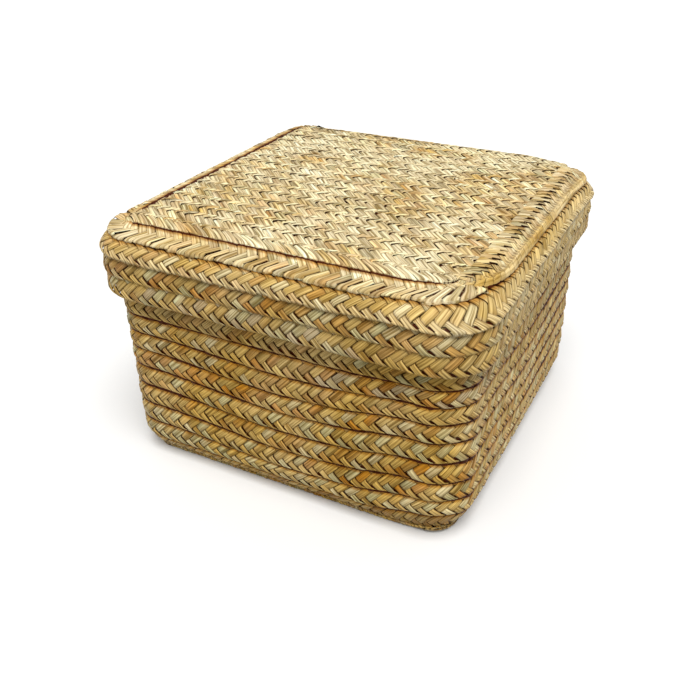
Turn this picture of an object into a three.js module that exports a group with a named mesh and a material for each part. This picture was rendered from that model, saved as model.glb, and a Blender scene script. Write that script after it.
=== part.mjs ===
// Woven straw box with a lift-off lid, made of flat plaited braids sewn into rounds and rows.
// Millimetres, +Z up. The origin is the centre of the base's underside, and -Y is the front.
import * as THREE from "three";

// The box
const BOX_WIDTH = 220; // across the outer faces of two opposite walls
const CORNER_RADIUS = 23; // of the walls, seen from above
const RIM_HEIGHT = 147.2; // from the base's underside to the rim
const FOOT_RADIUS = 20; // of the turn from the walls to the base
const FOOT_TURN = 57; // degrees that the walls turn under before they meet the base

// The braid
const BRAID_WIDTH = 17;
const BRAID_THICKNESS = 2; // along its middle
const EDGE_THICKNESS = 1.2; // along its two edges
const SEAM_GAP = 0.3; // between two braids that are sewn together
const COURSE_LAP = 4; // by which each round of the walls covers the next one down, about
const ROW_WIDTH = 12; // of a row in the flat panels, about

// The base
const BASE_LEDGE = 0.6; // by which the base stands out past the middle of the last round's lip

// The lid
const BORDER_REACH = 2; // by which the border stands out past the walls
const BORDER_SLOPE = 9; // degrees that the border falls towards its lip
const BORDER_SHOWING = 14; // of the border's width, outside the panel
const PANEL_CORNER = 5; // radius of the panel's corners
const SHOULDER_LAP = 2; // by which the border covers the first round of the skirt
const SKIRT_ROUNDS = 3;
const SKIRT_REACH = 8; // by which the skirt's first round stands out past the walls
const SKIRT_STEP_IN = 0.9; // of each round of the skirt behind the one above it
const SHOULDER_DROP = 10.5; // from the border's lip to the lip of the skirt's first round
const SKIRT_LAP = 4.5; // by which each round of the skirt covers the next one down

// Facets
const CORNER_STEPS = 5;
const SECTION_STEPS = 4;
const ROW_STEPS = 4;

const STRAW = { body: 0xc9a662, lid: 0xd8bf86 };

const halfWidth = BOX_WIDTH / 2;
const cornerCentre = halfWidth - CORNER_RADIUS;
const radians = THREE.MathUtils.degToRad;
const point = (reach, height) => new THREE.Vector2(reach, height);

// A braid's thickness at a share of its width: thin edges and a full middle.
function thicknessAt(share) {
  return EDGE_THICKNESS + (BRAID_THICKNESS - EDGE_THICKNESS) * 4 * share * (1 - share);
}

// The line along the middle of a braid's section, from its tucked edge through its middle to its lip.
function midline(tuck, middle, lip) {
  const chordMiddle = tuck.clone().add(lip).multiplyScalar(0.5);
  return new THREE.QuadraticBezierCurve(tuck, middle.clone().multiplyScalar(2).sub(chordMiddle), lip);
}

function straightMidline(tuck, lip) {
  return midline(tuck, tuck.clone().add(lip).multiplyScalar(0.5), lip);
}

function outward(line, share) {
  const along = line.getTangent(share);
  return point(-along.y, along.x);
}

// How far one braid's middle lies behind another's where the two are lapped.
function lapDepth(lap, width) {
  return (thicknessAt(lap / width) + EDGE_THICKNESS) / 2 + SEAM_GAP;
}

// The tucked edge of the braid that goes behind another one's lip.
function tuckBehind(upper, lap) {
  const width = upper.getLength();
  const share = 1 - lap / width;
  return upper.getPoint(share).addScaledVector(outward(upper, share), -lapDepth(lap, width));
}

// The closed section of a braid, in reach from the box's axis and height.
function braidSection(line) {
  const outer = [];
  const inner = [];
  for (let step = 0; step <= SECTION_STEPS; step += 1) {
    const share = step / SECTION_STEPS;
    const away = outward(line, share).multiplyScalar(thicknessAt(share) / 2);
    outer.push(line.getPoint(share).add(away));
    inner.unshift(line.getPoint(share).sub(away));
  }
  return [...outer, ...inner];
}

// Stations round one corner of the box, as the corner's centre and the way out from it.
function cornerStations(corner) {
  const middle = radians(90 * corner + 45);
  const x = Math.sign(Math.cos(middle)) * cornerCentre;
  const y = Math.sign(Math.sin(middle)) * cornerCentre;
  const stations = [];
  for (let step = 0; step <= CORNER_STEPS; step += 1) {
    const angle = radians(90 * (corner + step / CORNER_STEPS));
    stations.push({ x, y, outX: Math.cos(angle), outY: Math.sin(angle) });
  }
  return stations;
}

// A closed body from its vertices and triangles, turned so that its faces point out.
function closedGeometry(vertices, triangles) {
  const corners = vertices.map(([x, y, z]) => new THREE.Vector3(x, y, z));
  const volume = triangles.reduce(
    (sum, [a, b, c]) => sum + corners[a].dot(corners[b].clone().cross(corners[c])),
    0,
  );
  const facing = volume > 0 ? triangles : triangles.map(([a, b, c]) => [a, c, b]);
  const geometry = new THREE.BufferGeometry();
  geometry.setAttribute("position", new THREE.Float32BufferAttribute(vertices.flat(), 3));
  geometry.setIndex(facing.flat());
  geometry.computeVertexNormals();
  return geometry;
}

// A section swept along stations: round and back to its start, or with two flat ends.
function sweep(section, stations, isRound) {
  const vertices = stations.flatMap(({ x, y, outX, outY }) =>
    section.map((place) => {
      const out = place.x - cornerCentre;
      return [x + out * outX, y + out * outY, place.y];
    }),
  );
  const triangles = [];
  const count = section.length;
  const spans = isRound ? stations.length : stations.length - 1;
  for (let span = 0; span < spans; span += 1) {
    const here = span * count;
    const next = ((span + 1) % stations.length) * count;
    for (let side = 0; side < count; side += 1) {
      const after = (side + 1) % count;
      triangles.push([here + side, next + side, next + after], [here + side, next + after, here + after]);
    }
  }
  if (!isRound) {
    const last = (stations.length - 1) * count;
    for (let rung = 0; rung < SECTION_STEPS; rung += 1) {
      const far = count - 1 - rung;
      triangles.push([rung, rung + 1, far], [rung + 1, far - 1, far]);
      triangles.push([last + rung, last + far, last + rung + 1], [last + rung + 1, last + far, last + far - 1]);
    }
  }
  return closedGeometry(vertices, triangles);
}

function straw(name, geometry, color) {
  const mesh = new THREE.Mesh(geometry, new THREE.MeshStandardMaterial({ color, roughness: 0.6, metalness: 0 }));
  mesh.name = name;
  return mesh;
}

const numbered = (name, index) => `${name}_${String(index + 1).padStart(2, "0")}`;

// A braid sewn all the way round the box.
function round(name, line, color) {
  const stations = [0, 1, 2, 3].flatMap(cornerStations);
  return straw(name, sweep(braidSection(line), stations, true), color);
}

// Rows of braid sewn edge to edge into a flat panel with rounded corners, running along X.
function rowPanel(name, half, cornerRadius, underside, color) {
  const count = 2 * Math.round(half / ROW_WIDTH - 0.5) + 1;
  const pitch = (2 * half) / count;
  const cornerStart = half - cornerRadius;
  const halfLength = (y) => {
    const past = Math.min(Math.max(Math.abs(y) - cornerStart, 0), cornerRadius);
    return cornerStart + Math.sqrt(cornerRadius ** 2 - past ** 2);
  };
  return Array.from({ length: count }, (_, index) => {
    const vertices = [];
    const triangles = [];
    for (let step = 0; step <= ROW_STEPS; step += 1) {
      const share = step / ROW_STEPS;
      const y = -half + index * pitch + SEAM_GAP / 2 + share * (pitch - SEAM_GAP);
      const top = underside + thicknessAt(share);
      const end = halfLength(y);
      vertices.push([-end, y, underside], [end, y, underside], [end, y, top], [-end, y, top]);
    }
    for (let step = 0; step < ROW_STEPS; step += 1) {
      for (let side = 0; side < 4; side += 1) {
        const here = step * 4 + side;
        const after = step * 4 + ((side + 1) % 4);
        triangles.push([here, after, after + 4], [here, after + 4, here + 4]);
      }
    }
    const far = ROW_STEPS * 4;
    triangles.push([0, 2, 1], [0, 3, 2], [far, far + 1, far + 2], [far, far + 2, far + 3]);
    return straw(numbered(name, index), closedGeometry(vertices, triangles), color);
  });
}

// The walls: rounds of braid lapped like shingles, from the rim down and round the foot.
const lipRadius = FOOT_RADIUS - EDGE_THICKNESS / 2;
const lipReach = halfWidth - EDGE_THICKNESS / 2;
const lastLipHeight = BRAID_THICKNESS + SEAM_GAP + EDGE_THICKNESS / 2;
const footTurn = radians(FOOT_TURN);
const footCentre = point(lipReach - lipRadius, lastLipHeight + lipRadius * Math.sin(footTurn));
const straightDepth = RIM_HEIGHT - footCentre.y;
const wallDepth = straightDepth + lipRadius * footTurn;

// The way out of the wall, and a place on the line of its lips, at a depth along it below the rim.
function wallOut(depth) {
  const turn = Math.max(depth - straightDepth, 0) / lipRadius;
  return point(Math.cos(turn), -Math.sin(turn));
}

function wallPlace(depth) {
  if (depth < straightDepth) {
    return point(lipReach, RIM_HEIGHT - depth);
  }
  return footCentre.clone().addScaledVector(wallOut(depth), lipRadius);
}

function wallRounds() {
  const count = Math.round((wallDepth - BRAID_WIDTH) / (BRAID_WIDTH - COURSE_LAP)) + 1;
  const pitch = (wallDepth - BRAID_WIDTH) / (count - 1);
  const lap = BRAID_WIDTH - pitch;
  const lean = (lapDepth(lap, BRAID_WIDTH) * BRAID_WIDTH) / pitch;
  let tuck = point(lipReach - lean, RIM_HEIGHT);
  return Array.from({ length: count }, (_, index) => {
    const lipDepth = BRAID_WIDTH + index * pitch;
    const middleDepth = lipDepth - BRAID_WIDTH / 2;
    const middle = wallPlace(middleDepth).addScaledVector(wallOut(middleDepth), -lean / 2);
    const line = midline(tuck, middle, wallPlace(lipDepth));
    tuck = tuckBehind(line, lap);
    return round(numbered("wall_round", index), line, STRAW.body);
  });
}

// The base: rows whose edge lies under the lip of the last round of the walls.
function baseRows() {
  const half = wallPlace(wallDepth).x + BASE_LEDGE;
  return rowPanel("base_row", half, half - cornerCentre, 0, STRAW.body);
}

// The lid's border slopes down over the rim, and rests on it.
const borderFall = Math.tan(radians(BORDER_SLOPE));
const borderLipReach = halfWidth + BORDER_REACH;
const wallLean = (lapDepth(COURSE_LAP, BRAID_WIDTH) * BRAID_WIDTH) / (BRAID_WIDTH - COURSE_LAP);
const rimFromLip = borderLipReach - (lipReach - wallLean);
const borderOverRim = RIM_HEIGHT + SEAM_GAP + thicknessAt(rimFromLip / BRAID_WIDTH) / 2;
const borderLip = point(borderLipReach, borderOverRim - rimFromLip * borderFall);
const borderTuck = borderLip
  .clone()
  .add(point(-Math.cos(radians(BORDER_SLOPE)), Math.sin(radians(BORDER_SLOPE))).multiplyScalar(BRAID_WIDTH));
const borderLine = straightMidline(borderTuck, borderLip);

// Each side's braid turns one corner, and ends against the next side's braid.
function borderSides() {
  const section = braidSection(borderLine);
  return ["back", "left", "front", "right"].map((side, corner) => {
    const turn = cornerStations(corner);
    const start = turn[CORNER_STEPS];
    const next = cornerStations((corner + 1) % 4)[0];
    const end = { ...next, x: next.x + SEAM_GAP * start.outY, y: next.y - SEAM_GAP * start.outX };
    return straw(`lid_border_${side}`, sweep(section, [...turn, end], false), STRAW.lid);
  });
}

// The panel lies on the border's tucked edge.
function lidRows() {
  const half = borderLip.x - BORDER_SHOWING * Math.cos(radians(BORDER_SLOPE));
  const underside = borderTuck.y + EDGE_THICKNESS / 2 + SEAM_GAP;
  return rowPanel("lid_row", half, PANEL_CORNER, underside, STRAW.lid);
}

// The skirt: rounds lapped like the walls, the first one tucked under the border's lip.
function skirtRounds() {
  let upper = borderLine;
  return Array.from({ length: SKIRT_ROUNDS }, (_, index) => {
    const reach = halfWidth + SKIRT_REACH - index * SKIRT_STEP_IN;
    const height = borderLip.y - SHOULDER_DROP - index * (BRAID_WIDTH - SKIRT_LAP);
    const lap = index === 0 ? SHOULDER_LAP : SKIRT_LAP;
    upper = straightMidline(tuckBehind(upper, lap), point(reach, height));
    return round(numbered("lid_skirt", index), upper, STRAW.lid);
  });
}

const box = new THREE.Group();
box.add(...baseRows(), ...wallRounds());
const lid = new THREE.Group();
lid.add(...lidRows(), ...borderSides(), ...skirtRounds());
const wovenBox = new THREE.Group();
wovenBox.add(box, lid);

export default wovenBox;
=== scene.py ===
"""Plaited straw box with a lift-off lid: woven surfaces, finishes and a plain studio stage.

Laid out as an add-on and run as a script. Lengths are in metres unless a name ends in mm.
"""

import math
from collections import namedtuple

import bpy
import numpy as np
from bpy.props import FloatProperty, FloatVectorProperty, IntProperty, PointerProperty
from mathutils import Matrix, Vector


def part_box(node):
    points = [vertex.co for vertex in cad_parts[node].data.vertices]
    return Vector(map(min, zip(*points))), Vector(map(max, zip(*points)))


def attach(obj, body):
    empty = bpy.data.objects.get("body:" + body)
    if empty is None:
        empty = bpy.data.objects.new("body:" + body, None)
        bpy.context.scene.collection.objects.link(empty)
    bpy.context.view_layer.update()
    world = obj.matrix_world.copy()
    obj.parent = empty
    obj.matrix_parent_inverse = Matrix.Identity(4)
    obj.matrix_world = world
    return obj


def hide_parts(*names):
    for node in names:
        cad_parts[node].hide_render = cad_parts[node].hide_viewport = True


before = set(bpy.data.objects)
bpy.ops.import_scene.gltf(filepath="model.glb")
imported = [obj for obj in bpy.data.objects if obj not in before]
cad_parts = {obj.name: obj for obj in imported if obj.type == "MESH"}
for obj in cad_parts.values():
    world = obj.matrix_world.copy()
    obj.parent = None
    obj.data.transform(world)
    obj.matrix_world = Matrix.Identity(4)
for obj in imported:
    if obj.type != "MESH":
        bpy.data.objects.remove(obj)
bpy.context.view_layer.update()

bl_info = {
    "name": "Plaited straw box",
    "version": (1, 0, 0),
    "blender": (4, 5, 0),
    "location": "3D View > Sidebar > Straw box",
    "description": "Weaves the braids of a straw box and its lid, and sets a plain studio stage",
    "category": "Object",
}

MM = 0.001

# How a braid is plaited. Rising straws lie on top between two places across it, given as shares of
# its half width from its middle, and falling ones everywhere else. A straw's width is a share of the
# spacing, narrower towards the lip or the tucked edge where gaps show, and closed again in a strip
# along the lip. A groove along each straw's middle parts it in two, deeper along the lip.
Weave = namedtuple(
    "Weave",
    "over_from over_to spacing fill lip_fill tuck_fill tip groove lip_groove edge_shade lip_shade"
    " lip_bleach lift uneven patchy shares",
)
WALL_WEAVE = Weave(
    over_from=-0.4,
    over_to=0.4,
    spacing=6.7 * MM,
    fill=1.02,
    lip_fill=0.78,
    tuck_fill=1.02,
    tip=0.7 * MM,
    groove=0.1,
    lip_groove=0.3,
    edge_shade=0.28,
    lip_shade=0.5,
    lip_bleach=0.0,
    lift=0.08 * MM,
    uneven=0.05,
    patchy=0.0,
    shares=(0.57, 0.2, 0.1, 0.07, 0.03, 0.03),
)
SKIRT_WEAVE = WALL_WEAVE._replace(lip_groove=0.5, shares=(0.46, 0.19, 0.13, 0.14, 0.05, 0.03))
# Its lip is painted paler, a painted highlight on the folded straws there.
FIRST_SKIRT_WEAVE = SKIRT_WEAVE._replace(tuck_fill=0.74, lip_groove=0.7, lip_bleach=0.35)
TOP_WEAVE = SKIRT_WEAVE._replace(
    over_to=1.0,
    spacing=6.0 * MM,
    fill=1.12,
    lip_fill=0.48,
    tip=1.3 * MM,
    groove=0.6,
    lip_groove=0.3,
    edge_shade=0.06,
    lip_shade=0.6,
    lift=0.16 * MM,
    uneven=0.08,
    patchy=0.4,
)
BORDER_WEAVE = TOP_WEAVE._replace(
    over_from=0.0, lip_fill=0.9, groove=0.3, lip_groove=0.5, edge_shade=0.2
)
TURNED_WEAVE = BORDER_WEAVE._replace(lip_fill=0.64, tip=4.0 * MM)

# A straw's closed section, as shares of its half width and of its half thickness.
SECTION_ACROSS = np.array([-1.0, -0.7, -0.2, 0.0, 0.2, 0.7, 1.0, 0.7, 0.2, 0.0, -0.2, -0.7])
SECTION_THROUGH = np.array(
    [0.0, 0.65, 0.95, 1.0, 0.95, 0.65, 0.0, -0.65, -0.95, -1.0, -0.95, -0.65]
)
SECTION_FACING = np.sign(SECTION_THROUGH)
SECTION_GROOVE = SECTION_FACING * (SECTION_ACROSS == 0)

# Kinds of straw: the material, how wide the lines along it are, how dark and how light they are, and
# the share by which the sun has bleached it in blotches.
Straw = namedtuple("Straw", "material line_width_mm dark light blotched")
STRAWS = {
    "box": Straw("wheat_straw_flattened_and_plaited", 1.1, 0.44, 1.48, 0.2),
    "skirt": Straw("wheat_straw_plaited_for_the_skirt", 1.1, 0.46, 1.42, 0.2),
    "lid": Straw("wheat_straw_bleached_and_plaited", 1.6, 0.36, 1.5, 0.9),
    "border": Straw("wheat_straw_plaited_for_the_border", 1.4, 0.5, 1.35, 0.5),
}

# Each group of braids draws its chances from seeds that start here.
WALL_SEED = 100
BASE_SEED = 200
TOP_SEED = 300
BORDER_SEED = 400
SKIRT_SEED = 500


def linear(hex_colour):
    """An sRGB hex colour as linear red, green and blue."""
    shares = [int(hex_colour[start : start + 2], 16) / 255 for start in (1, 3, 5)]
    return [share / 12.92 if share <= 0.04045 else ((share + 0.055) / 1.055) ** 2.4 for share in shares]


def colour_property(name, description, hex_colour):
    return FloatVectorProperty(
        name=name,
        description=description,
        default=linear(hex_colour),
        size=3,
        subtype="COLOR",
        min=0,
        max=1,
    )


def length_property(name, description, default, least=0):
    return FloatProperty(
        name=name, description=description, default=default, min=least, unit="LENGTH", precision=5
    )


def angle_property(name, description, degrees):
    return FloatProperty(
        name=name, description=description, default=math.radians(degrees), subtype="ANGLE"
    )


def share_property(name, description, default):
    return FloatProperty(name=name, description=description, default=default, subtype="FACTOR")


class StrawPlait(bpy.types.PropertyGroup):
    """Sizes of the plaited braids"""

    straws: IntProperty(name="Straws", description="Straws in one braid", default=5, min=3)
    thickness: length_property("Thickness", "Of one flattened straw", 0.8 * MM)
    rise: length_property("Rise", "Of a straw that passes over another", 0.5 * MM)
    ease: length_property("Ease", "Half the width in which a straw goes from over to under", 0.6 * MM)
    wander: length_property("Wander", "Of a braid's seam from its true line", 0.3 * MM)
    sway: length_property("Sway", "Of all the walls' seams together", 0.8 * MM)
    pushed_in: length_property("Pushed in", "Of the front right corner at the top", 8 * MM)
    lifted: length_property("Lifted", "Of the foot at its front right corner", 4 * MM)
    drooped: length_property("Drooped", "Of the lid's back right corner", 3 * MM)
    sagged: length_property("Sagged", "Of the walls' rounds in the middle of each side", 5 * MM)
    drawn_down: length_property("Drawn down", "Of the rounds just under the skirt", 7 * MM)
    climb: length_property("Climb", "Of the front's rounds to the right corner", 4 * MM)
    ragged: length_property("Ragged", "Of the shade's edge in a seam", 0.25 * MM)
    roll_width: length_property("Roll width", "Of the strip along the lip that is rolled in", 3 * MM)
    roll_depth: length_property("Roll depth", "By which the lip is rolled in", 1.2 * MM)
    corner_centre: length_property("Corner centre", "From the axis to where corners turn", 87 * MM)
    row_lap: length_property("Row lap", "Of a row of the lid over the one behind it", 3 * MM)
    foot_reach: length_property("Foot reach", "Of the lowest lip, on to the base", 1.8 * MM)


class StrawColours(bpy.types.PropertyGroup):
    """Colours of the straws"""

    golden: colour_property("Golden", "Most of the straws", "#D2AE5C")
    honey: colour_property("Honey", "Darker straws", "#C89845")
    pale: colour_property("Pale", "Pale straws", "#D9C897")
    green: colour_property("Green", "Straws cut before they were ripe", "#C9BE8A")
    rose: colour_property("Rose", "Straws with a grey rose tint", "#CAB48D")
    orange: colour_property("Orange", "Sheath ends of straws, and stains", "#BE8224")
    # Painted shade: straw beside a seam is painted amber, where the lip above shades it.
    amber_painted_shade: colour_property("Amber", "Straw beside a seam", "#B0781F")
    bleached: colour_property("Bleached", "What straws are bleached towards", "#F8E9C2")
    # Painted shade: the colour painted where straws go under others, along their edges and grooves, and
    # in seams.
    painted_crease_shade: colour_property("Crease", "Where straws go under others, and in seams", "#4A1B02")
    top_bleach: share_property("Top bleach", "By which the lid's top is bleached", 0.52)
    border_bleach: share_property("Border bleach", "By which the lid's border is bleached", 0.5)
    skirt_bleach: share_property("Skirt bleach", "By which the lid's skirt is bleached", 0.08)
    # Painted light: the right side is painted paler, standing in for the light that falls on it.
    right_painted_light: share_property("Right bleach", "By which the right side is paler", 0.3)


class StrawStage(bpy.types.PropertyGroup):
    """The studio round the box"""

    floor: colour_property("Floor", "What the camera sees of the floor", "#FBFBFA")
    lens: FloatProperty(
        name="Lens", description="Of the camera", default=41.9, subtype="DISTANCE_CAMERA"
    )
    azimuth: angle_property("Azimuth", "Of the camera, to the right of the front", 27.93)
    elevation: angle_property("Elevation", "Of the camera", 31.32)
    roll: angle_property("Roll", "Of the camera", -1.04)
    distance: length_property("Distance", "From the camera to the base's middle", 561.7 * MM)
    shift_right: length_property("Shift right", "Of the camera, square to its view", -9 * MM, -1)
    shift_up: length_property("Shift up", "Of the camera, square to its view", 34 * MM, -1)


def add_node(tree, kind, inputs=None, **settings):
    """Adds a node, sets its properties, and fills its inputs with values or links."""
    made = tree.nodes.new(kind)
    for name, value in settings.items():
        setattr(made, name, value)
    for name, value in (inputs or {}).items():
        if isinstance(value, bpy.types.NodeSocket):
            tree.links.new(value, made.inputs[name])
        else:
            made.inputs[name].default_value = value
    return made


def emptied_tree(owner):
    owner.use_nodes = True
    owner.node_tree.nodes.clear()
    return owner.node_tree


# Wheat straw, split, flattened and plaited.
# Satin skin with fine lines along each straw, pale and golden straws side by side, and brown painted
# shade in creases.
# Real fibres are about 0.15 mm wide, drawn coarser so that they show.
FIBRE_LENGTH_MM = 30.0
STAIN_LENGTH_MM = 14.0
BLOTCH_LENGTH_MM = 34.0
FIBRE_NOISE = {"Scale": 1.0, "Detail": 3.0, "Roughness": 0.6}
STAIN_NOISE = {"Scale": 1.0, "Detail": 2.0}
BLOTCH_NOISE = {"Scale": 1 / (BLOTCH_LENGTH_MM * MM), "Detail": 2.0}
# Spans of the noises over which lines, stains and blotches set in, and how far stains cover the straw.
FIBRE_SPAN = {"From Min": 0.35, "From Max": 0.65}
STAIN_SPAN = {"From Min": 0.52, "From Max": 0.8, "To Max": 0.45}
BLOTCH_SPAN = {"From Min": 0.42, "From Max": 0.64}
# Millimetres from a seam's shade over which straw is painted amber, how far, and over which it is
# painted dark: painted shade under the lip above.
AMBER_PAINTED_SHADE_SPAN = {"From Min": -2.4, "From Max": -1.0, "To Max": 0.75}
SEAM_SPAN = {"From Min": -0.6, "From Max": 0.0}
# The dark lines take more from the blue than from the red.
WARM_LINES = (1.0, 0.83, 0.46)
# A dry skin mirrors little, and its dark lines are rougher.
STRAW_SHINE = 0.08
ROUGH_SPAN = {"From Min": 0.3, "From Max": 0.7, "To Min": 0.52, "To Max": 0.38}
FIBRE_BUMP = {"Strength": 0.35, "Distance": 0.1 * MM}


def straw_material(straw):
    """A kind of straw's material, made once."""
    made = bpy.data.materials.get(straw.material)
    if made:
        return made
    made = bpy.data.materials.new(straw.material)
    tree = emptied_tree(made)
    colours = bpy.context.scene.straw_colours
    colour, grain, painted_crease_shade, seam = (
        add_node(tree, "ShaderNodeAttribute", attribute_name=f"straw_{kind}").outputs
        for kind in ("colour", "grain", "painted_crease_shade", "seam")
    )

    # Lines along each straw.
    fibre_scale = (1 / straw.line_width_mm, 1 / FIBRE_LENGTH_MM, 1)
    inputs = {0: grain["Vector"], 1: fibre_scale}
    places = add_node(tree, "ShaderNodeVectorMath", inputs, operation="MULTIPLY").outputs[0]
    fibres = add_node(tree, "ShaderNodeTexNoise", {"Vector": places, **FIBRE_NOISE}).outputs["Fac"]
    share = add_node(tree, "ShaderNodeMapRange", {"Value": fibres, **FIBRE_SPAN}).outputs[0]
    dark_line = (*(straw.dark * part for part in WARM_LINES), 1)
    light_line = (straw.light, straw.light, straw.light, 1)
    inputs = {0: share, 6: dark_line, 7: light_line}
    fibre_lines = add_node(tree, "ShaderNodeMix", inputs, data_type="RGBA").outputs[2]

    # Stains, blotches that the sun has bleached, and painted amber shade beside a seam.
    inputs = {0: grain["Vector"], 1: (1 / STAIN_LENGTH_MM, 1 / STAIN_LENGTH_MM, 1)}
    places = add_node(tree, "ShaderNodeVectorMath", inputs, operation="MULTIPLY").outputs[0]
    stains = add_node(tree, "ShaderNodeTexNoise", {"Vector": places, **STAIN_NOISE}).outputs["Fac"]
    places = add_node(tree, "ShaderNodeTexCoord").outputs["Object"]
    blotches = add_node(tree, "ShaderNodeTexNoise", {"Vector": places, **BLOTCH_NOISE}).outputs["Fac"]
    covered = colour["Color"]
    for value, span, cover in (
        (stains, STAIN_SPAN, colours.orange),
        (blotches, {**BLOTCH_SPAN, "To Max": straw.blotched}, colours.bleached),
        (seam["Fac"], AMBER_PAINTED_SHADE_SPAN, colours.amber_painted_shade),
    ):
        share = add_node(tree, "ShaderNodeMapRange", {"Value": value, **span}).outputs[0]
        inputs = {0: share, 6: covered, 7: (*cover, 1)}
        covered = add_node(tree, "ShaderNodeMix", inputs, data_type="RGBA").outputs[2]

    # The lines darken or lighten all of it, and the painted shade of creases and seams lies over them.
    lined = add_node(
        tree,
        "ShaderNodeMix",
        {0: 1.0, 6: covered, 7: fibre_lines},
        data_type="RGBA",
        blend_type="MULTIPLY",
        clamp_result=True,
    ).outputs[2]
    in_seam = add_node(tree, "ShaderNodeMapRange", {"Value": seam["Fac"], **SEAM_SPAN}).outputs[0]
    inputs = {0: painted_crease_shade["Fac"], 1: in_seam}
    dark = add_node(tree, "ShaderNodeMath", inputs, operation="MAXIMUM").outputs[0]
    inputs = {0: dark, 6: lined, 7: (*colours.painted_crease_shade, 1)}
    with_painted_shade = add_node(tree, "ShaderNodeMix", inputs, data_type="RGBA").outputs[2]

    rough = add_node(tree, "ShaderNodeMapRange", {"Value": fibres, **ROUGH_SPAN}).outputs[0]
    bump = add_node(tree, "ShaderNodeBump", {"Height": fibres, **FIBRE_BUMP}).outputs[0]
    inputs = {
        "Base Color": with_painted_shade,
        "Roughness": rough,
        "Specular IOR Level": STRAW_SHINE,
        "Normal": bump,
    }
    skin = add_node(tree, "ShaderNodeBsdfPrincipled", inputs)
    add_node(tree, "ShaderNodeOutputMaterial", {"Surface": skin.outputs[0]})
    return made


# Random waves are sums of this many sines. Each pair below is a longest and a shortest wave.
WAVE_TERMS = 5
DRIFT_WAVES = (90 * MM, 18 * MM)
LIFT_WAVES = (60 * MM, 12 * MM)
TILT_WAVES = (60 * MM, 14 * MM)
WIDTH_WAVES = (120 * MM, 20 * MM)
PATCH_WAVES = (120 * MM, 30 * MM)
RAGGED_WAVES = (40 * MM, 8 * MM)
WANDER_WAVES = (300 * MM, 50 * MM)
BULGE_WAVES = (200 * MM, 40 * MM)


def waves(draws, count, lengths, places, total):
    """Smooth random waves along a closed length, one row for each of count, about 1 high."""
    longest, shortest = lengths
    summed = np.zeros((count,) + places.shape)
    lowest = max(1, round(total / longest))
    highest = max(lowest + 1, round(total / shortest))
    shape = (count,) + (1,) * places.ndim
    for _ in range(WAVE_TERMS):
        cycles = draws.integers(lowest, highest + 1, count).reshape(shape)
        phase = draws.uniform(0, 2 * np.pi, count).reshape(shape)
        summed += np.sin(2 * np.pi * cycles * places[None] / total + phase)
    return summed / math.sqrt(WAVE_TERMS)


def eased(value, start, end):
    """0 before the start, 1 past the end, and smooth between them."""
    share = np.clip((value - start) / (end - start), 0, 1)
    return share * share * (3 - 2 * share)


# Width in which the gaps between straws close towards the strip along the lip.
TIP_EASE = 0.7 * MM
# How high a rising straw's middle lies where it is on top, in rises.
MIDDLE_LEVEL = 1.2


def period_levels(half, rise, ease, weave):
    """One straw's way from the lip to the tucked edge and back: across, through, and its direction."""
    turn = (1 - math.sin(math.pi / 4)) * rise
    slant = math.cos(math.pi / 4)
    low, high = weave.over_from * half, weave.over_to * half
    rest = half - rise
    rising = [
        (-half, 0.0),
        (-half + turn, -slant),
        (-rest, -1.0),
        (-half + weave.tip, -1.0),
        (-half + weave.tip + TIP_EASE, -1.0),
        (low - ease, -1.0),
        (low, 0.0),
        (low + ease, 1.0),
    ]
    side = 1.0
    if high < rest:
        middle = ((low + high) / 2, MIDDLE_LEVEL)
        rising += [middle, (high - ease, 1.0), (high, 0.0), (high + ease, -1.0)]
        side = -1.0
    last = rising[-1][0]
    rising += [(last + quarter / 4 * (rest - last), side) for quarter in (1, 2, 3)]
    rising += [(rest, side), (half - turn, slant * side)]
    falling = [(half, 0.0)] + [(across, -through) for across, through in rising[:0:-1]]
    levels = np.array(rising + falling)
    ways = np.array([1.0] * len(rising) + [-1.0] * len(falling))
    return levels[:, 0], levels[:, 1] * rise, ways


# A straw goes on for this many passes before the next is spliced in.
SPLICE_FROM, SPLICE_TO = 4, 14
# How light straws and their passes are, and how far each pass is bleached.
STRAW_TONES = (0.88, 1.1)
PASS_TONES = (0.85, 1.1)
PASS_BLEACH = (0.6, 1.3)
# A patchy weave's passes differ by this share of its patchiness more.
PATCHY_SPREAD = 0.5


def straw_tints(draws, along, total, weave, bleach):
    """Each straw's colour at its passes along a braid: several tints, spliced where they are hidden."""
    colours = bpy.context.scene.straw_colours
    names = ("golden", "honey", "pale", "green", "rose", "orange")
    tints = np.array([getattr(colours, name) for name in names])
    count, passes = along.shape
    made = np.empty((count, passes, 3))
    for straw in range(count):
        at = 0
        while at < passes:
            run = int(draws.integers(SPLICE_FROM, SPLICE_TO))
            tint = tints[draws.choice(len(tints), p=weave.shares)] * draws.uniform(*STRAW_TONES)
            made[straw, at : at + run] = tint
            at += run
    patches = 1 + weave.patchy * waves(draws, 1, PATCH_WAVES, along, total)[0]
    spread = np.array([-1, 1]) * PATCHY_SPREAD * weave.patchy
    share = np.clip(bleach * patches * draws.uniform(*(PASS_BLEACH + spread), along.shape), 0, 1)
    made += (np.array(colours.bleached) - made) * share[..., None]
    return np.clip(made * draws.uniform(*(PASS_TONES + spread), (count, passes, 1)), 0, 1)


# Free edge of each tile on the bake's map, as a share of the tile.
TILE_INSET = 0.04


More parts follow.
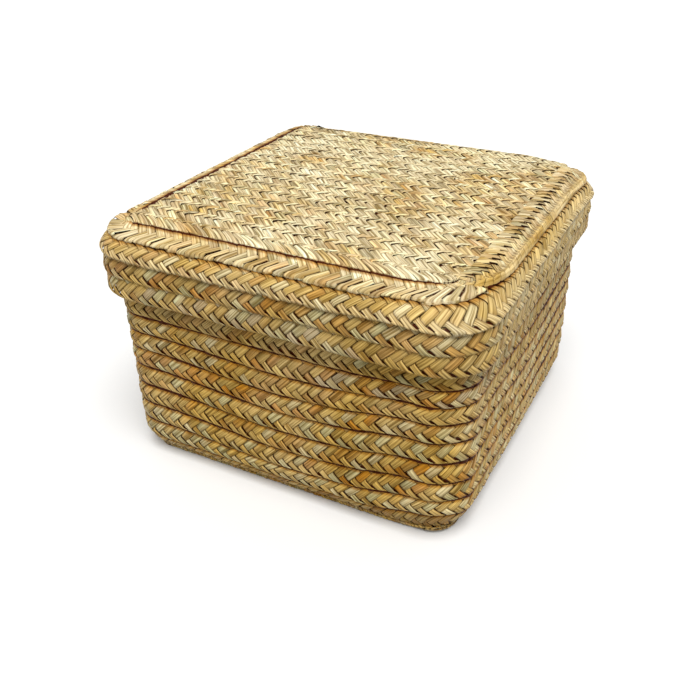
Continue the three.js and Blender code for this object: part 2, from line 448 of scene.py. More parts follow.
def straw_faces(count, turns, per_period, closed):
    """The faces of a braid's straws, and their corners on the bake's map: a tile for each pass."""
    ring = len(SECTION_ACROSS)
    levels = turns * per_period
    per_pass = per_period // 2
    here = np.arange(levels if closed else levels - 1)
    after = (here + 1) % levels
    around = np.arange(ring)
    beside = (around + 1) % ring
    turning = ((here, around), (here, beside), (after, beside), (after, around))
    corners = [level[:, None] * ring + place for level, place in turning]
    first_vertex = np.arange(count) * levels * ring
    faces = np.stack(corners, -1)[None] + first_vertex[:, None, None, None]
    tile = (np.arange(count)[:, None] * 2 * turns + here // per_pass)[:, :, None, None]
    tiles_a_side = math.ceil(math.sqrt(count * 2 * turns))
    tile_x, tile_y = tile % tiles_a_side, tile // tiles_a_side
    corner_x = (around[:, None] + np.array([0, 1, 1, 0]))[None, None]
    corner_y = (here % per_pass)[None, :, None, None] + np.array([0, 0, 1, 1])
    used = 1 - 2 * TILE_INSET
    bake_x = (tile_x + TILE_INSET + used * corner_x / ring) / tiles_a_side
    bake_y = (tile_y + TILE_INSET + used * corner_y / per_pass) / tiles_a_side
    bake = np.stack(np.broadcast_arrays(bake_x, bake_y), -1)
    return faces.reshape(-1, 4), bake.reshape(-1, 4, 2)


# A place this far from a seam shows none of its painted shade.
NO_SEAM_MM = -99.0
# Tilt of straws and unevenness of gaps along the lip, as shares of the weave's lift and unevenness.
TILT_SHARE = 1.5
LIP_UNEVEN = 1.5
# Share of the half width past which straws turn square to the edge.
SLANT_TO = 0.7
# A full groove's depth, as a share of half the thickness, and its shade.
GROOVE_DEPTH = 1.2
GROOVE_SHADE = 0.8
# How far the folds along the lip are from one line.
FOLD_UNEVEN = 0.25 * MM
# A fold that faces neither way, by less than this, counts as facing out.
NO_FACING = 1e-9
# Levels over which a straw is painted darker, as painted shade, on its way under another.
COVERED_SPAN = (-0.3, 0.7)
# Levels over which a straw counts as on top.
SHOWN_SPAN = (-0.5, 0.5)
# Each straw's lines start at a chance place in the noise, within this range, and move on in whole
# steps, by about so much in so many passes.
GRAIN_RANGE = 50
GRAIN_STEP = 3.7
GRAIN_PASSES = 4


def plait(draws, half, length, closed, weave, bleach=0.0, shade=0.0, tight=None):
    """A braid laid flat: its straws' vertices along, across and through it, its faces and colours.

    shade is the width at the tucked edge that is painted dark, as painted shade under another braid's
    lip, and tight gives the share by which the straws' gaps are closed at places along the braid.
    """
    sizes = bpy.context.scene.straw_plait
    count = sizes.straws
    periods = max(1, round(length / (count * weave.spacing)))
    period = length / periods
    spacing = period / count
    slope = 4 * half / period
    across, through, ways = period_levels(half, sizes.rise, sizes.ease, weave)
    per_period = len(across)
    first = 0 if closed else -1
    turns = periods - first
    # Every straw is the same way repeated, set off along the braid.
    cycle = np.repeat(np.arange(turns) + first, per_period)
    across, through, ways = (np.tile(part, turns) for part in (across, through, ways))
    passes = np.arange(turns * per_period) // (per_period // 2)
    way_along = np.where(ways > 0, (across + half) / slope, period / 2 + (half - across) / slope)
    centre = cycle * period + way_along
    step_across = np.roll(across, -1) - np.roll(across, 1)
    step_through = np.roll(through, -1) - np.roll(through, 1)
    step = np.hypot(step_across, step_through)
    out_across, out_through = step_through / step, -step_across / step
    start = np.arange(count) * spacing
    places = centre[None] + start[:, None]

    # A hand's unevenness: straws wander along the braid, lift a little, tilt and differ in width.
    total = turns * period
    drift = weave.uneven * spacing * waves(draws, count, DRIFT_WAVES, centre, total)
    lift = weave.lift * waves(draws, count, LIFT_WAVES, centre, total)
    tilt = TILT_SHARE * weave.lift * waves(draws, count, TILT_WAVES, centre, total)
    width = 1 + weave.uneven * waves(draws, count, WIDTH_WAVES, centre, total)

    # Gaps and grooves. Only straws on top leave gaps, so that none goes through the braid.
    lip_from = -weave.over_from * half - 2 * sizes.ease
    near_lip = eased(-across - sizes.ease, lip_from, lip_from + 2 * sizes.ease)
    tuck_from = weave.over_to * half
    near_tuck = eased(across, tuck_from, tuck_from + 2 * sizes.ease)
    at_tip = eased(-across, half - weave.tip - TIP_EASE, half - weave.tip)
    level = through / sizes.rise
    shown = eased(level, *SHOWN_SPAN)
    open_lip = near_lip * (1 - at_tip) * shown
    chance = LIP_UNEVEN * weave.uneven * draws.normal(size=(count, 2 * turns))
    lip_fill = weave.lip_fill * (1 + chance)[:, passes]
    if tight:
        lip_fill = lip_fill + (weave.fill - lip_fill) * tight(places)
    fill = weave.fill + (lip_fill - weave.fill) * open_lip
    fill = fill + (weave.tuck_fill - weave.fill) * near_tuck * shown
    groove = weave.groove + (weave.lip_groove - weave.groove) * near_lip

    # Vertices along, across and through the braid.
    slant = 1 - eased(np.abs(across), SLANT_TO * half, half - sizes.rise)
    straw_across = 0.5 * spacing * (fill * width)[:, :, None] * SECTION_ACROSS
    groove_depth = GROOVE_DEPTH * groove[:, None] * SECTION_GROOVE
    straw_through = 0.5 * sizes.thickness * (SECTION_THROUGH - groove_depth)
    points_along = (places + drift)[:, :, None] + straw_across * (1 - slant / 2)[None, :, None]
    points_across = across[None, :, None] - (ways * slant)[None, :, None] * slope * straw_across / 2
    points_across = points_across + (straw_through * out_across[:, None])[None]
    points_through = (through[None] + lift)[:, :, None] + tilt[:, :, None] * SECTION_ACROSS
    points_through = points_through + (straw_through * out_through[:, None])[None]
    fold = FOLD_UNEVEN * draws.normal(size=(count, 2 * turns))
    points_across = points_across + (fold[:, passes] * near_lip[None])[:, :, None]

    # Painted shade in creases: the covered side of each straw, its edges and its groove, and the strip
    # along a seam.
    facing = SECTION_FACING[None] * np.sign(out_through + NO_FACING)[:, None]
    on_top = eased(-level, *COVERED_SPAN)[:, None]
    beneath = eased(level, *COVERED_SPAN)[:, None]
    edge_shade = (weave.edge_shade + weave.lip_shade * open_lip)[:, None]
    at_edge = np.maximum(edge_shade, np.minimum(on_top, beneath))
    painted_crease_shade = np.where(facing > 0, on_top, np.where(facing < 0, beneath, at_edge))
    painted_crease_shade = np.maximum(painted_crease_shade, GROOVE_SHADE * groove[:, None] * np.abs(SECTION_GROOVE))
    seam = np.full(points_along.shape, NO_SEAM_MM)
    if shade:
        ragged = sizes.ragged * waves(draws, 1, RAGGED_WAVES, places, total)[0]
        past = (points_across - half + shade + ragged[:, :, None]) / MM
        seam = np.where((facing >= 0)[None], past, NO_SEAM_MM)

    # A straw's two halves have a tint each, spliced at the folds.
    pass_along = start[:, None] + (first + np.arange(2 * turns) / 2) * period
    one, other = (straw_tints(draws, pass_along, total, weave, bleach) for _ in range(2))
    one, other = one[:, passes, None], other[:, passes, None]
    other_half = (0.5 + 0.5 * np.sign(SECTION_ACROSS))[:, None] * weave.groove
    tint = one + (other - one) * other_half
    # Painted highlight: the straws along the lip are painted paler by the weave's share.
    painted_pale = (weave.lip_bleach * near_lip)[:, None, None]
    tint = tint + (np.array(bpy.context.scene.straw_colours.bleached) - tint) * painted_pale
    number = draws.uniform(0, GRAIN_RANGE, (count, 1)) + GRAIN_STEP * passes[None] // GRAIN_PASSES
    step_along = np.diff(centre, prepend=centre[0])
    way = np.cumsum(np.hypot(step_along, np.diff(across, prepend=across[0])))
    grain = [straw_across / MM, way[None, :, None] / MM, number[:, :, None]]
    faces, bake = straw_faces(count, turns, per_period, closed)
    return {
        "along": points_along,
        "across": points_across,
        "through": points_through,
        "faces": faces,
        "bake": bake,
        "colour": tint,
        "painted_crease_shade": np.broadcast_to(painted_crease_shade[None], points_along.shape),
        "seam": seam,
        "grain": np.stack(np.broadcast_arrays(*grain), -1),
    }


# How the straw has settled: the places between which each movement sets in or ends. Corners are
# told by their reach along a diagonal.
CORNER_REACH = (118 * MM, 146 * MM)
PUSHED_HEIGHTS = (136 * MM, 148 * MM)
LIFTED_HEIGHTS = (0, 40 * MM)
DROOPED_HEIGHTS = (120 * MM, 148 * MM)
SAG_FROM_MIDDLE = (0, 80 * MM)
SAG_HEIGHTS = (8 * MM, 32 * MM)
SAG_ENDS = (80 * MM, 115 * MM)
DRAWN_FROM, DRAWN_FURTHEST, DRAWN_TO = 64 * MM, 117 * MM, 140 * MM
DRAWN_POWER = 1.3
CLIMB_RIGHT = (45 * MM, 85 * MM)
CLIMB_FRONT = (85 * MM, 105 * MM)
CLIMB_HEIGHTS = (0, 12 * MM)
CLIMB_ENDS = (60 * MM, 130 * MM)


def walls_settled(x, y, z):
    """How far up the walls' rounds have moved.

    They sag in the middle of each side, lie closer under the skirt, and climb at the front right.
    """
    sizes = bpy.context.scene.straw_plait
    from_middle = np.minimum(np.abs(x), np.abs(y))
    sag = sizes.sagged * (1 - eased(from_middle, *SAG_FROM_MIDDLE))
    sag = sag * eased(z, *SAG_HEIGHTS) * (1 - eased(z, *SAG_ENDS))
    drawn = np.clip((z - DRAWN_FROM) / (DRAWN_FURTHEST - DRAWN_FROM), 0, 1) ** DRAWN_POWER
    drawn = sizes.drawn_down * drawn * (1 - eased(z, DRAWN_FURTHEST, DRAWN_TO))
    climb = sizes.climb * eased(x, *CLIMB_RIGHT) * eased(-y, *CLIMB_FRONT)
    climb = climb * eased(z, *CLIMB_HEIGHTS) * (1 - eased(z, *CLIMB_ENDS))
    return climb - sag - drawn


def settled(points, body):
    """Points as the straw has settled.

    The front right corner is pushed in at the top and lifted at the foot, and the back right one
    hangs at the top.
    """
    sizes = bpy.context.scene.straw_plait
    x, y, z = np.moveaxis(points, -1, 0)
    front = eased((x - y) / math.sqrt(2), *CORNER_REACH)
    back = eased((x + y) / math.sqrt(2), *CORNER_REACH)
    inward = sizes.pushed_in * front * eased(z, *PUSHED_HEIGHTS) / math.sqrt(2)
    upward = sizes.lifted * front * (1 - eased(z, *LIFTED_HEIGHTS))
    upward = upward - sizes.drooped * back * eased(z, *DROOPED_HEIGHTS)
    if body == "box":
        upward = upward + walls_settled(x, y, z)
    return points + np.stack([-inward, inward, upward], -1)


# A face is left out if twice its area, in square metres, is no more than this.
LEAST_DOUBLE_AREA = 1e-12


def woven_piece(braid, points, node, body, kind, right=0.0, flip=False):
    """A mesh piece from a braid whose vertices have been laid in place; it stands for a node.

    kind is its kind of straw, and right the share by which each vertex is on the right side.
    """
    points = settled(points, body).reshape(-1, 3)
    faces, bake = braid["faces"], braid["bake"]
    corners = points[faces]
    diagonals = corners[:, 2] - corners[:, 0], corners[:, 3] - corners[:, 1]
    kept = np.linalg.norm(np.cross(*diagonals), axis=1) > LEAST_DOUBLE_AREA
    faces, bake = faces[kept], bake[kept]
    if flip:
        faces, bake = faces[:, ::-1], bake[:, ::-1]
    name = f"{node}_straw"
    mesh = bpy.data.meshes.new(name)
    used, faces = np.unique(faces, return_inverse=True)
    faces = faces.reshape(-1, 4)
    mesh.vertices.add(len(used))
    mesh.vertices.foreach_set("co", points[used].astype(np.float32).ravel())
    mesh.loops.add(faces.size)
    mesh.loops.foreach_set("vertex_index", faces.astype(np.int32).ravel())
    mesh.polygons.add(len(faces))
    mesh.polygons.foreach_set("loop_start", np.arange(0, faces.size, 4, dtype=np.int32))
    mesh.polygons.foreach_set("use_smooth", np.ones(len(faces), bool))
    mesh.update(calc_edges=True)
    # Painted light: the right side is painted paler, towards the pale straws' colour.
    colours = bpy.context.scene.straw_colours
    painted_pale = colours.right_painted_light * np.asarray(right)[..., None]
    tint = braid["colour"] + (np.array(colours.pale) - braid["colour"]) * painted_pale
    rgba = np.ones((len(used), 4), np.float32)
    rgba[:, :3] = tint.reshape(-1, 3)[used]
    colour = mesh.attributes.new("straw_colour", "FLOAT_COLOR", "POINT")
    colour.data.foreach_set("color", rgba.ravel())
    for place in ("painted_crease_shade", "seam"):
        shade = mesh.attributes.new(f"straw_{place}", "FLOAT", "POINT")
        shade.data.foreach_set("value", braid[place].reshape(-1)[used].astype(np.float32))
    grain = mesh.attributes.new("straw_grain", "FLOAT_VECTOR", "POINT")
    grain_places = braid["grain"].reshape(-1, 3)[used]
    grain.data.foreach_set("vector", grain_places.astype(np.float32).ravel())
    bake_map = mesh.uv_layers.new(name="OFBake")
    bake_map.data.foreach_set("uv", bake.astype(np.float32).ravel())
    mesh.materials.append(straw_material(STRAWS[kind]))
    piece = bpy.data.objects.new(name, mesh)
    bpy.context.scene.collection.objects.link(piece)
    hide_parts(node)
    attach(piece, body)


# Vertices this near to where a corner turns make a section, if there are at least so many, and are
# told apart by this many digits.
SECTION_NEAR = 0.02 * MM
SECTION_LEAST = 4
SECTION_DIGITS = 7


class Section:
    """A braid's section in the frame: where its middle is, which way its tucked edge lies, its bow."""

    def __init__(self, node):
        centre = bpy.context.scene.straw_plait.corner_centre
        points = np.array([vertex.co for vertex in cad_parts[node].data.vertices])
        at_turn = np.abs(np.abs(points[:, 1]) - centre) < SECTION_NEAR
        cut = points[at_turn & (points[:, 0] > centre)]
        if len(cut) < SECTION_LEAST:
            raise RuntimeError(f"{node} has no section where its corner turns")
        section = np.unique(np.round(cut[:, [0, 2]], SECTION_DIGITS), axis=0)
        self.middle = section.mean(axis=0)
        along = np.linalg.svd(section - self.middle)[2][0]
        self.along = along if along[1] > 0 else -along
        self.outward = np.array([self.along[1], -self.along[0]])
        place = (section - self.middle) @ self.along
        self.shift = (place.max() + place.min()) / 2
        self.half = (place.max() - place.min()) / 2
        self.bow = np.polyfit(place, (section - self.middle) @ self.outward, 2)

    def at(self, across, through):
        """Reach and height of places across and through the braid."""
        place = across + self.shift
        slope = np.polyval(np.polyder(self.bow), place)[..., None]
        bow = np.polyval(self.bow, place)[..., None]
        flat = self.middle + place[..., None] * self.along + bow * self.outward
        normal = (self.outward - slope * self.along) / np.sqrt(1 + slope * slope)
        return flat + through[..., None] * normal


# Share of its first corner in which the right side sets in.
RIGHT_START = 0.6


class RoundWay:
    """The way round the box that a braid's middle follows, along its front side first."""

    def __init__(self, section):
        self.centre = bpy.context.scene.straw_plait.corner_centre
        self.radius = section.at(np.zeros(1), np.zeros(1))[0, 0] - self.centre
        self.side = 2 * self.centre
        self.arc = self.radius * math.pi / 2
        self.quarter = self.side + self.arc
        self.length = 4 * self.quarter

    def on_right(self, along):
        """The share by which places along the way are on the right side."""
        along = np.mod(along, self.length)
        past_start = eased(along, self.quarter - RIGHT_START * self.arc, self.quarter)
        past_end = eased(along, self.quarter + self.side, 2 * self.quarter)
        return past_start - past_end

    def place(self, along, reach, height):
        """Points at places along the way, at a reach from the axis and a height."""
        along = np.mod(along, self.length)
        turn = np.floor(along / self.quarter)
        past = along - turn * self.quarter
        base_x = np.minimum(past, self.side) - self.centre
        angle = -math.pi / 2 + np.maximum(past - self.side, 0) / self.radius
        out = reach - self.centre
        x = base_x + out * np.cos(angle)
        y = -self.centre + out * np.sin(angle)
        cos, sin = np.cos(turn * math.pi / 2), np.sin(turn * math.pi / 2)
        return np.stack([x * cos - y * sin, x * sin + y * cos, height], -1)


def rolled_in(across, half):
    """How far a lip is rolled in, at places across a braid."""
    sizes = bpy.context.scene.straw_plait
    past = np.maximum(-across - half + sizes.roll_width, 0) / sizes.roll_width
    return sizes.roll_depth * past * past


# The walls' seams sway together, in waves given as shares of the way round.
SWAY_SEED = 90
SWAY_WAVES = (1 / 2, 1 / 6)
# A round's waves in and out, as a share of its seam's wander.
BULGE_SHARE = 0.5
# On the walls' right side the seam's painted shade reaches further by this much, the lip above is
# painted dark as painted shade this far from its edge, and the gaps between straws are closed by this
# share.
RIGHT_SHADE_MM = 0.6
RIGHT_LIP_SHADE_MM = 0.8
RIGHT_TIGHT = 0.8


def weave_round(node, body, kind, seed, weave, bleach, shade, sway=0.0, reach=0.0):
    """A braid sewn all the way round, whose lip may reach further than its section."""
    sizes = bpy.context.scene.straw_plait
    draws = np.random.default_rng(seed)
    section = Section(node)
    way = RoundWay(section)
    start = draws.uniform(0, way.length)

    def tight(places):
        return RIGHT_TIGHT * way.on_right(places + start)

    braid = plait(draws, section.half, way.length, True, weave, bleach, shade, tight)
    along, across, through = braid["along"] + start, braid["across"], braid["through"]
    across = across + sizes.wander * waves(draws, 1, WANDER_WAVES, along, way.length)[0]
    sway_draws = np.random.default_rng(SWAY_SEED)
    across = across + sway * waves(sway_draws, 1, SWAY_WAVES, along / way.length, 1.0)[0]
    through = through + BULGE_SHARE * sizes.wander * waves(draws, 1, BULGE_WAVES, along, way.length)[0]
    through = through - rolled_in(across, section.half)
    flat = section.at(across - reach * eased(-across, 0, section.half), through)
    points = way.place(along, flat[..., 0], flat[..., 1])
    right = way.on_right(along)
    # Painted shade: on the right side the seam's shade reaches further and the lip's edge is painted
    # dark.
    if body == "box":
        at_lip = RIGHT_LIP_SHADE_MM - (braid["across"] + section.half) / MM
        under_lip = braid["seam"] + RIGHT_SHADE_MM * right
        braid["seam"] = np.maximum(under_lip, np.where(right > 0.5, at_lip, NO_SEAM_MM))
    woven_piece(braid, points, node, body, kind, right)


# By how much a row's lip lies higher than its middle, the widths in which its edges turn down, and
# how many times further the left one does.
ROW_TILT = 0.3 * MM
EDGE_WIDTH = 3 * MM
LEFT_EDGE_WIDTH = 6 * MM
LEFT_DROP = 2


def weave_row(node, body, seed, bleach, outline, lap, first, edge_drop, left_reach):
    """A straight row of a flat panel, whose lip lies on the row behind it."""
    draws = np.random.default_rng(seed)
    low, high = (np.array(corner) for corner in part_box(node))
    pitch = high[1] - low[1]
    half = (pitch + (0 if first else lap)) / 2
    length = 2 * outline(0.0) + left_reach + 2 * pitch
    braid = plait(draws, half, length, False, TOP_WEAVE, bleach)
    along = braid["along"] - (length + left_reach) / 2 - 0.5 * pitch
    across, through = braid["across"], braid["through"]
    y = high[1] - half - across
    ends = outline(y)
    x = np.clip(along, -ends - left_reach, ends)
    tilt = 0 if first else ROW_TILT
    z = (low[2] + high[2]) / 2 + through - tilt * across / half
    inside = np.minimum(ends - x, outline(0.0) - np.abs(y))
    z = z - edge_drop * (1 - eased(inside, 0, EDGE_WIDTH))
    z = z - LEFT_DROP * edge_drop * (1 - eased(ends + left_reach + x, 0, LEFT_EDGE_WIDTH))
    # What stands on the floor is pressed flat.
    points = np.stack([x, y, np.maximum(z, 0)], -1)
    woven_piece(braid, points, node, body, body, flip=True)


def panel_outline(nodes, corner_radius):
    """Half the length of a row at a place across a panel with rounded corners."""
    half = max(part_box(node)[1].x for node in nodes)
    start = half - corner_radius

    def half_length(y):
        past = np.clip(np.abs(y) - start, 0, corner_radius)
        return start + np.sqrt(corner_radius**2 - past**2)

    return half_length


def numbered_nodes(start):
    found = sorted(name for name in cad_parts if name.startswith(start))
    if not found:
        raise RuntimeError(f"the frame has no node that starts with {start}")
    return found


# Shade of each wall round under the lip above it, and how many rounds from the rim down sway.
WALL_SHADE = 4.85 * MM
SWAYING_ROUNDS = 9


class STRAWBOX_OT_weave_walls(bpy.types.Operator):
    """Weaves the rounds of the walls, from the rim down to the foot"""

    bl_idname = "strawbox.weave_walls"
    bl_label = "Weave walls"

    def execute(self, context):
        sizes = context.scene.straw_plait
        nodes = numbered_nodes("wall_round_")
        for index, node in enumerate(nodes):
            shade = 0 if index == 0 else WALL_SHADE
            sway = sizes.sway if index < SWAYING_ROUNDS else 0.0
            reach = sizes.foot_reach if node == nodes[-1] else 0.0
            seed = WALL_SEED + index
            weave_round(node, "box", "box", seed, WALL_WEAVE, 0.0, shade, sway, reach)
        return {"FINISHED"}


BASE_LAP = 2 * MM


class STRAWBOX_OT_weave_base(bpy.types.Operator):
    """Weaves the rows of the base"""

    bl_idname = "strawbox.weave_base"
    bl_label = "Weave base"

    def execute(self, context):
        nodes = numbered_nodes("base_row_")
        radius = max(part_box(node)[1].x for node in nodes) - context.scene.straw_plait.corner_centre
        outline = panel_outline(nodes, radius)
        for index, node in enumerate(nodes):
            seed, first = BASE_SEED + index, index == 0
            weave_row(node, "box", seed, 0.0, outline, BASE_LAP, first, 0.0, 0.0)
        return {"FINISHED"}


# The top's rounded corners, how far its edges turn down, and its reach to the left, under a border.
TOP_CORNER = 5 * MM
TOP_EDGE_DROP = 0.9 * MM
TOP_LEFT_REACH = 1 * MM


class STRAWBOX_OT_weave_lid_top(bpy.types.Operator):
    """Weaves the rows of the lid's top"""

    bl_idname = "strawbox.weave_lid_top"
    bl_label = "Weave lid top"

    def execute(self, context):
        nodes = numbered_nodes("lid_row_")
        outline = panel_outline(nodes, TOP_CORNER)
        lap = context.scene.straw_plait.row_lap
        bleach = context.scene.straw_colours.top_bleach
        edges = TOP_EDGE_DROP, TOP_LEFT_REACH
        for index, node in enumerate(nodes):
            weave_row(node, "lid", TOP_SEED + index, bleach, outline, lap, index == 0, *edges)
        return {"FINISHED"}


# How far each border is raised at its middle and at its inner edge, its shade under the top's rows,
# and how far it runs on past its side, in corners and in metres.
# The right and back ones lie over the ends of the rows, and the left one is a roll beside them.
# The front one runs on under the right one's start, and the right one over the back one's start.
Border = namedtuple("Border", "middle inner shade corners_on run_on")
BORDERS = {
    "front": Border(0.3 * MM, 0.8 * MM, 3.9 * MM, 1.3, 0.0),
    "right": Border(1.5 * MM, 3.0 * MM, 0.0, 1.0, 0.0),
    "back": Border(0.6 * MM, 1.4 * MM, 0.0, 0.0, 7 * MM),
    "left": Border(2.2 * MM, 0.8 * MM, 3.2 * MM, 0.0, 7 * MM),
}
# Where a border starts to rise, where its middle counts, and its inner edge, in half widths.
BORDER_ACROSS = (-0.4, 0.2, 1)
# Lengths at its far end in which a border sinks and then dives under the next, how deep, by how much
# it is flatter where it has sunk, and narrower where it has dived. The back one starts sunk too.
SUNK_LENGTH, SUNK_DEPTH, SUNK_FLATTER = 20 * MM, 1.4 * MM, 0.8
DIVED_LENGTH, DIVED_DEPTH, DIVED_NARROWER = 9 * MM, 3.0 * MM, 0.4
BACK_START_SUNK = 15 * MM
# The right border's start: where it is, where it is at its full width and height, in corners, and
# by how much it is narrower there.
RIGHT_BEGIN, RIGHT_WIDE = 0.45, 1.5
RIGHT_RISES, RIGHT_RISEN = 0.3, 1.0
RIGHT_NARROWER = 0.55
# The rolled outer edge of the right border, the line of painted shade beside it and how dark it is, how
# much of it stayed golden, how smooth it is by having less painted crease shade, and the share of its
# width in which both set in.
ROLLED_WIDTH = 4.2 * MM
ROLLED_RISE = 0.7 * MM
ROLLED_LINE_WIDTH = 1.0 * MM
ROLLED_LINE_SHADE = 0.7
ROLLED_GOLDEN = 0.7
ROLLED_SMOOTH = 0.8
ROLLED_EASE = 0.3


def roll_edge(braid, along, across, half):
    """Makes a braid's outer edge a smooth golden roll, and gives how far it rises."""
    past = across + half - ROLLED_WIDTH
    across_roll = np.clip(-past / ROLLED_WIDTH, 0, 1)
    on_roll = eased(across_roll, 0, ROLLED_EASE)
    # A line of painted shade beside the roll, and less painted crease shade on it.
    line = ROLLED_LINE_SHADE * (1 - eased(np.abs(past), 0, ROLLED_LINE_WIDTH))
    braid["painted_crease_shade"] = np.maximum(braid["painted_crease_shade"] * (1 - ROLLED_SMOOTH * on_roll), line)
    lengthwise = np.stack([across / MM, along / MM, 0 * along], -1)
    braid["grain"] = np.where((across_roll > 0)[..., None], lengthwise, braid["grain"])
    golden = np.array(bpy.context.scene.straw_colours.golden)
    braid["colour"] += (golden - braid["colour"]) * ROLLED_GOLDEN * on_roll[..., None]
    return ROLLED_RISE * np.sin(math.pi * across_roll)


def weave_border(index, side, section, way):
    """One braid of the lid's border, round one corner and along one side."""
    border = BORDERS[side]
    half = section.half
    draws = np.random.default_rng(BORDER_SEED + index)
    length = way.quarter + border.corners_on * way.arc + border.run_on
    # The right one's lip is turned inward, and it starts narrow, in the middle of its corner.
    turned = side == "right"
    begin = RIGHT_BEGIN * way.arc if turned else 0.0
    weave = TURNED_WEAVE if turned else BORDER_WEAVE
    bleach = bpy.context.scene.straw_colours.border_bleach
    braid = plait(draws, half, length, False, weave, bleach, border.shade)
    along = np.clip(length - braid["along"], begin, length)
    across = -braid["across"] if turned else braid["across"]
    through = braid["through"] - rolled_in(across, half) - turned * rolled_in(-across, half)
    raised = np.interp(across / half, BORDER_ACROSS, (0, border.middle, border.inner))
    sunk = eased(along, length - SUNK_LENGTH, length)
    dived = (not turned) * eased(along, length - DIVED_LENGTH, length)
    if turned:
        through = through + roll_edge(braid, along, across, half)
        narrow = RIGHT_NARROWER * (1 - eased(along, begin, RIGHT_WIDE * way.arc))
        across = across + (half - across) * narrow
        raised = raised * eased(along, RIGHT_RISES * way.arc, RIGHT_RISEN * way.arc)
    if side == "back":
        sunk = np.maximum(sunk, 1 - eased(along, way.arc, way.arc + BACK_START_SUNK))
    through = through + raised * (1 - SUNK_FLATTER * sunk) - SUNK_DEPTH * sunk - DIVED_DEPTH * dived
    across = across + DIVED_NARROWER * (half - across) * dived
    flat = section.at(across, through)
    points = way.place(along + index * way.quarter - way.arc, flat[..., 0], flat[..., 1])
    woven_piece(braid, points, f"lid_border_{side}", "lid", "border", flip=not turned)


class STRAWBOX_OT_weave_lid_border(bpy.types.Operator):
    """Weaves the four braids of the lid's border, each round one corner and along one side"""

    bl_idname = "strawbox.weave_lid_border"
    bl_label = "Weave lid border"

    def execute(self, context):
        section = Section("lid_border_right")
        way = RoundWay(section)
        for index, side in enumerate(BORDERS):
            weave_border(index, side, section, way)
        return {"FINISHED"}


# Shade of the skirt's first round under the border's lip.
SKIRT_SHADE = 1.4 * MM


class STRAWBOX_OT_weave_lid_skirt(bpy.types.Operator):
    """Weaves the rounds of the lid's skirt"""

    bl_idname = "strawbox.weave_lid_skirt"
    bl_label = "Weave lid skirt"

    def execute(self, context):
        bleach = context.scene.straw_colours.skirt_bleach
        for index, node in enumerate(numbered_nodes("lid_skirt_")):
            shade, weave = (0.0, SKIRT_WEAVE) if index else (SKIRT_SHADE, FIRST_SKIRT_WEAVE)
            weave_round(node, "lid", "skirt", SKIRT_SEED + index, weave, bleach, shade)
        return {"FINISHED"}


# The floor's colour to the light that it throws back, and how bright the sky is to what it lights.
FLOOR_BOUNCE = "#959595"
SKY_STRENGTH = 0.45
FLOOR_REACH = 6.0
FLOOR_DEPTH = 0.2 * MM
LAMP_STRENGTH = 2.5
LAMP_SPREAD = math.radians(40)
LAMP_FROM = (0.27, -0.36, 1)
SENSOR_WIDTH_MM = 36
CLIP_START, CLIP_END = 0.01, 50


# Painted board, matt: an even pale ground with no shine that only takes the shadow.
def board_material():
    made = bpy.data.materials.new("painted_board_matt")
    tree = emptied_tree(made)
    path = add_node(tree, "ShaderNodeLightPath").outputs
    seen = path["Is Camera Ray"]
    for ray in ("Is Glossy Ray", "Is Transmission Ray"):
        inputs = {0: seen, 1: path[ray]}
        seen = add_node(tree, "ShaderNodeMath", inputs, operation="MAXIMUM").outputs[0]
    inputs = {0: seen, 6: (*linear(FLOOR_BOUNCE), 1), 7: (*bpy.context.scene.straw_stage.floor, 1)}
    paint = add_node(tree, "ShaderNodeMix", inputs, data_type="RGBA").outputs[2]
    matt = add_node(tree, "ShaderNodeBsdfDiffuse", {"Color": paint})
    add_node(tree, "ShaderNodeOutputMaterial", {"Surface": matt.outputs[0]})
    return made


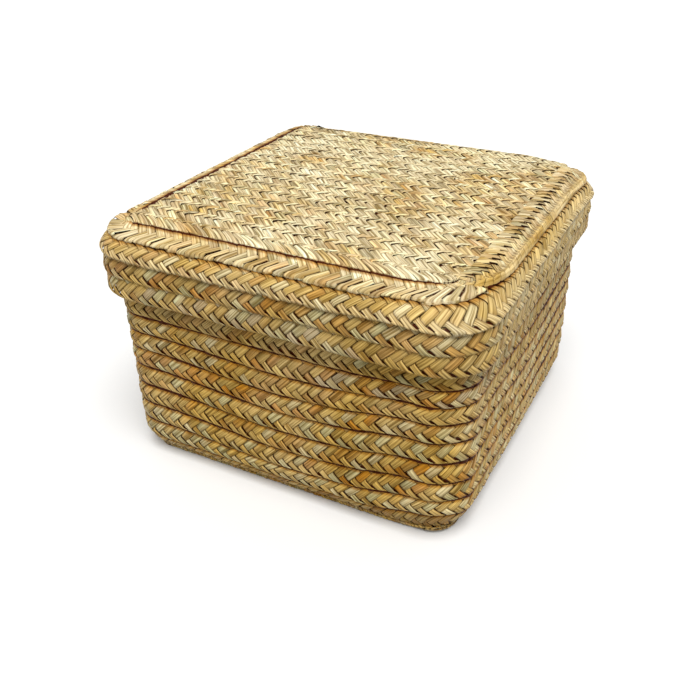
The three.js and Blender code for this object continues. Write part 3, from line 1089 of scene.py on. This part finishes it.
class STRAWBOX_OT_set_stage(bpy.types.Operator):
    """Sets the floor, the light, the background and the camera"""

    bl_idname = "strawbox.set_stage"
    bl_label = "Set stage"

    def execute(self, context):
        scene = context.scene
        scene.view_settings.view_transform = "Standard"
        self.lay_floor(scene)
        self.light(scene)
        self.place_camera(scene)
        return {"FINISHED"}

    def lay_floor(self, scene):
        mesh = bpy.data.meshes.new("floor")
        ends = [(-1, -1), (1, -1), (1, 1), (-1, 1)]
        corners = [(x * FLOOR_REACH, y * FLOOR_REACH, 0) for x, y in ends]
        mesh.from_pydata(corners, [], [(0, 1, 2, 3)])
        mesh.materials.append(board_material())
        floor = bpy.data.objects.new("floor", mesh)
        floor.location.z = -FLOOR_DEPTH
        scene.collection.objects.link(floor)

    def light(self, scene):
        world = bpy.data.worlds.new("studio")
        scene.world = world
        tree = emptied_tree(world)
        path = add_node(tree, "ShaderNodeLightPath").outputs
        inputs = {0: path["Is Camera Ray"], 1: path["Is Transmission Ray"]}
        seen = add_node(tree, "ShaderNodeMath", inputs, operation="MAXIMUM").outputs[0]
        inputs = {"Value": seen, "To Min": SKY_STRENGTH, "To Max": 1.0}
        strength = add_node(tree, "ShaderNodeMapRange", inputs).outputs[0]
        inputs = {"Color": (1, 1, 1, 1), "Strength": strength}
        ground = add_node(tree, "ShaderNodeBackground", inputs)
        add_node(tree, "ShaderNodeOutputWorld", {"Surface": ground.outputs[0]})
        lamp = bpy.data.lights.new("soft_overhead", "SUN")
        lamp.energy = LAMP_STRENGTH
        lamp.angle = LAMP_SPREAD
        overhead = bpy.data.objects.new("soft_overhead", lamp)
        overhead.rotation_mode = "QUATERNION"
        overhead.rotation_quaternion = Vector(LAMP_FROM).to_track_quat("Z", "Y")
        scene.collection.objects.link(overhead)

    def place_camera(self, scene):
        stage = scene.straw_stage
        azimuth, elevation = stage.azimuth, stage.elevation
        level = math.cos(elevation)
        back = Vector((math.sin(azimuth) * level, -math.cos(azimuth) * level, math.sin(elevation)))
        right = Vector((math.cos(azimuth), math.sin(azimuth), 0))
        up = back.cross(right)
        lens = bpy.data.cameras.new("camera")
        lens.lens = stage.lens
        lens.sensor_width = SENSOR_WIDTH_MM
        lens.clip_start, lens.clip_end = CLIP_START, CLIP_END
        camera = bpy.data.objects.new("camera", lens)
        turn = Matrix((right, up, back)).transposed() @ Matrix.Rotation(stage.roll, 3, "Z")
        eye = back * stage.distance + right * stage.shift_right + up * stage.shift_up
        camera.matrix_world = Matrix.Translation(eye) @ turn.to_4x4()
        scene.collection.objects.link(camera)
        scene.camera = camera


class STRAWBOX_PT_sidebar(bpy.types.Panel):
    """The straw box's sizes, colours and steps"""

    bl_idname = "STRAWBOX_PT_sidebar"
    bl_label = "Straw box"
    bl_space_type = "VIEW_3D"
    bl_region_type = "UI"
    bl_category = "Straw box"

    def draw(self, context):
        scene = context.scene
        for settings in (scene.straw_plait, scene.straw_colours, scene.straw_stage):
            column = self.layout.column(align=True)
            for name in settings.__annotations__:
                column.prop(settings, name)
        for operator in OPERATORS:
            self.layout.operator(operator.bl_idname)


OPERATORS = (
    STRAWBOX_OT_weave_walls,
    STRAWBOX_OT_weave_base,
    STRAWBOX_OT_weave_lid_top,
    STRAWBOX_OT_weave_lid_border,
    STRAWBOX_OT_weave_lid_skirt,
    STRAWBOX_OT_set_stage,
)
CLASSES = (StrawPlait, StrawColours, StrawStage, *OPERATORS, STRAWBOX_PT_sidebar)


def register():
    for kind in CLASSES:
        bpy.utils.register_class(kind)
    bpy.types.Scene.straw_plait = PointerProperty(type=StrawPlait)
    bpy.types.Scene.straw_colours = PointerProperty(type=StrawColours)
    bpy.types.Scene.straw_stage = PointerProperty(type=StrawStage)


def unregister():
    del bpy.types.Scene.straw_plait
    del bpy.types.Scene.straw_colours
    del bpy.types.Scene.straw_stage
    for kind in reversed(CLASSES):
        bpy.utils.unregister_class(kind)


def main():
    register()
    bpy.ops.strawbox.weave_walls()
    bpy.ops.strawbox.weave_base()
    bpy.ops.strawbox.weave_lid_top()
    bpy.ops.strawbox.weave_lid_border()
    bpy.ops.strawbox.weave_lid_skirt()
    bpy.ops.strawbox.set_stage()


if __name__ == "__main__":
    main()
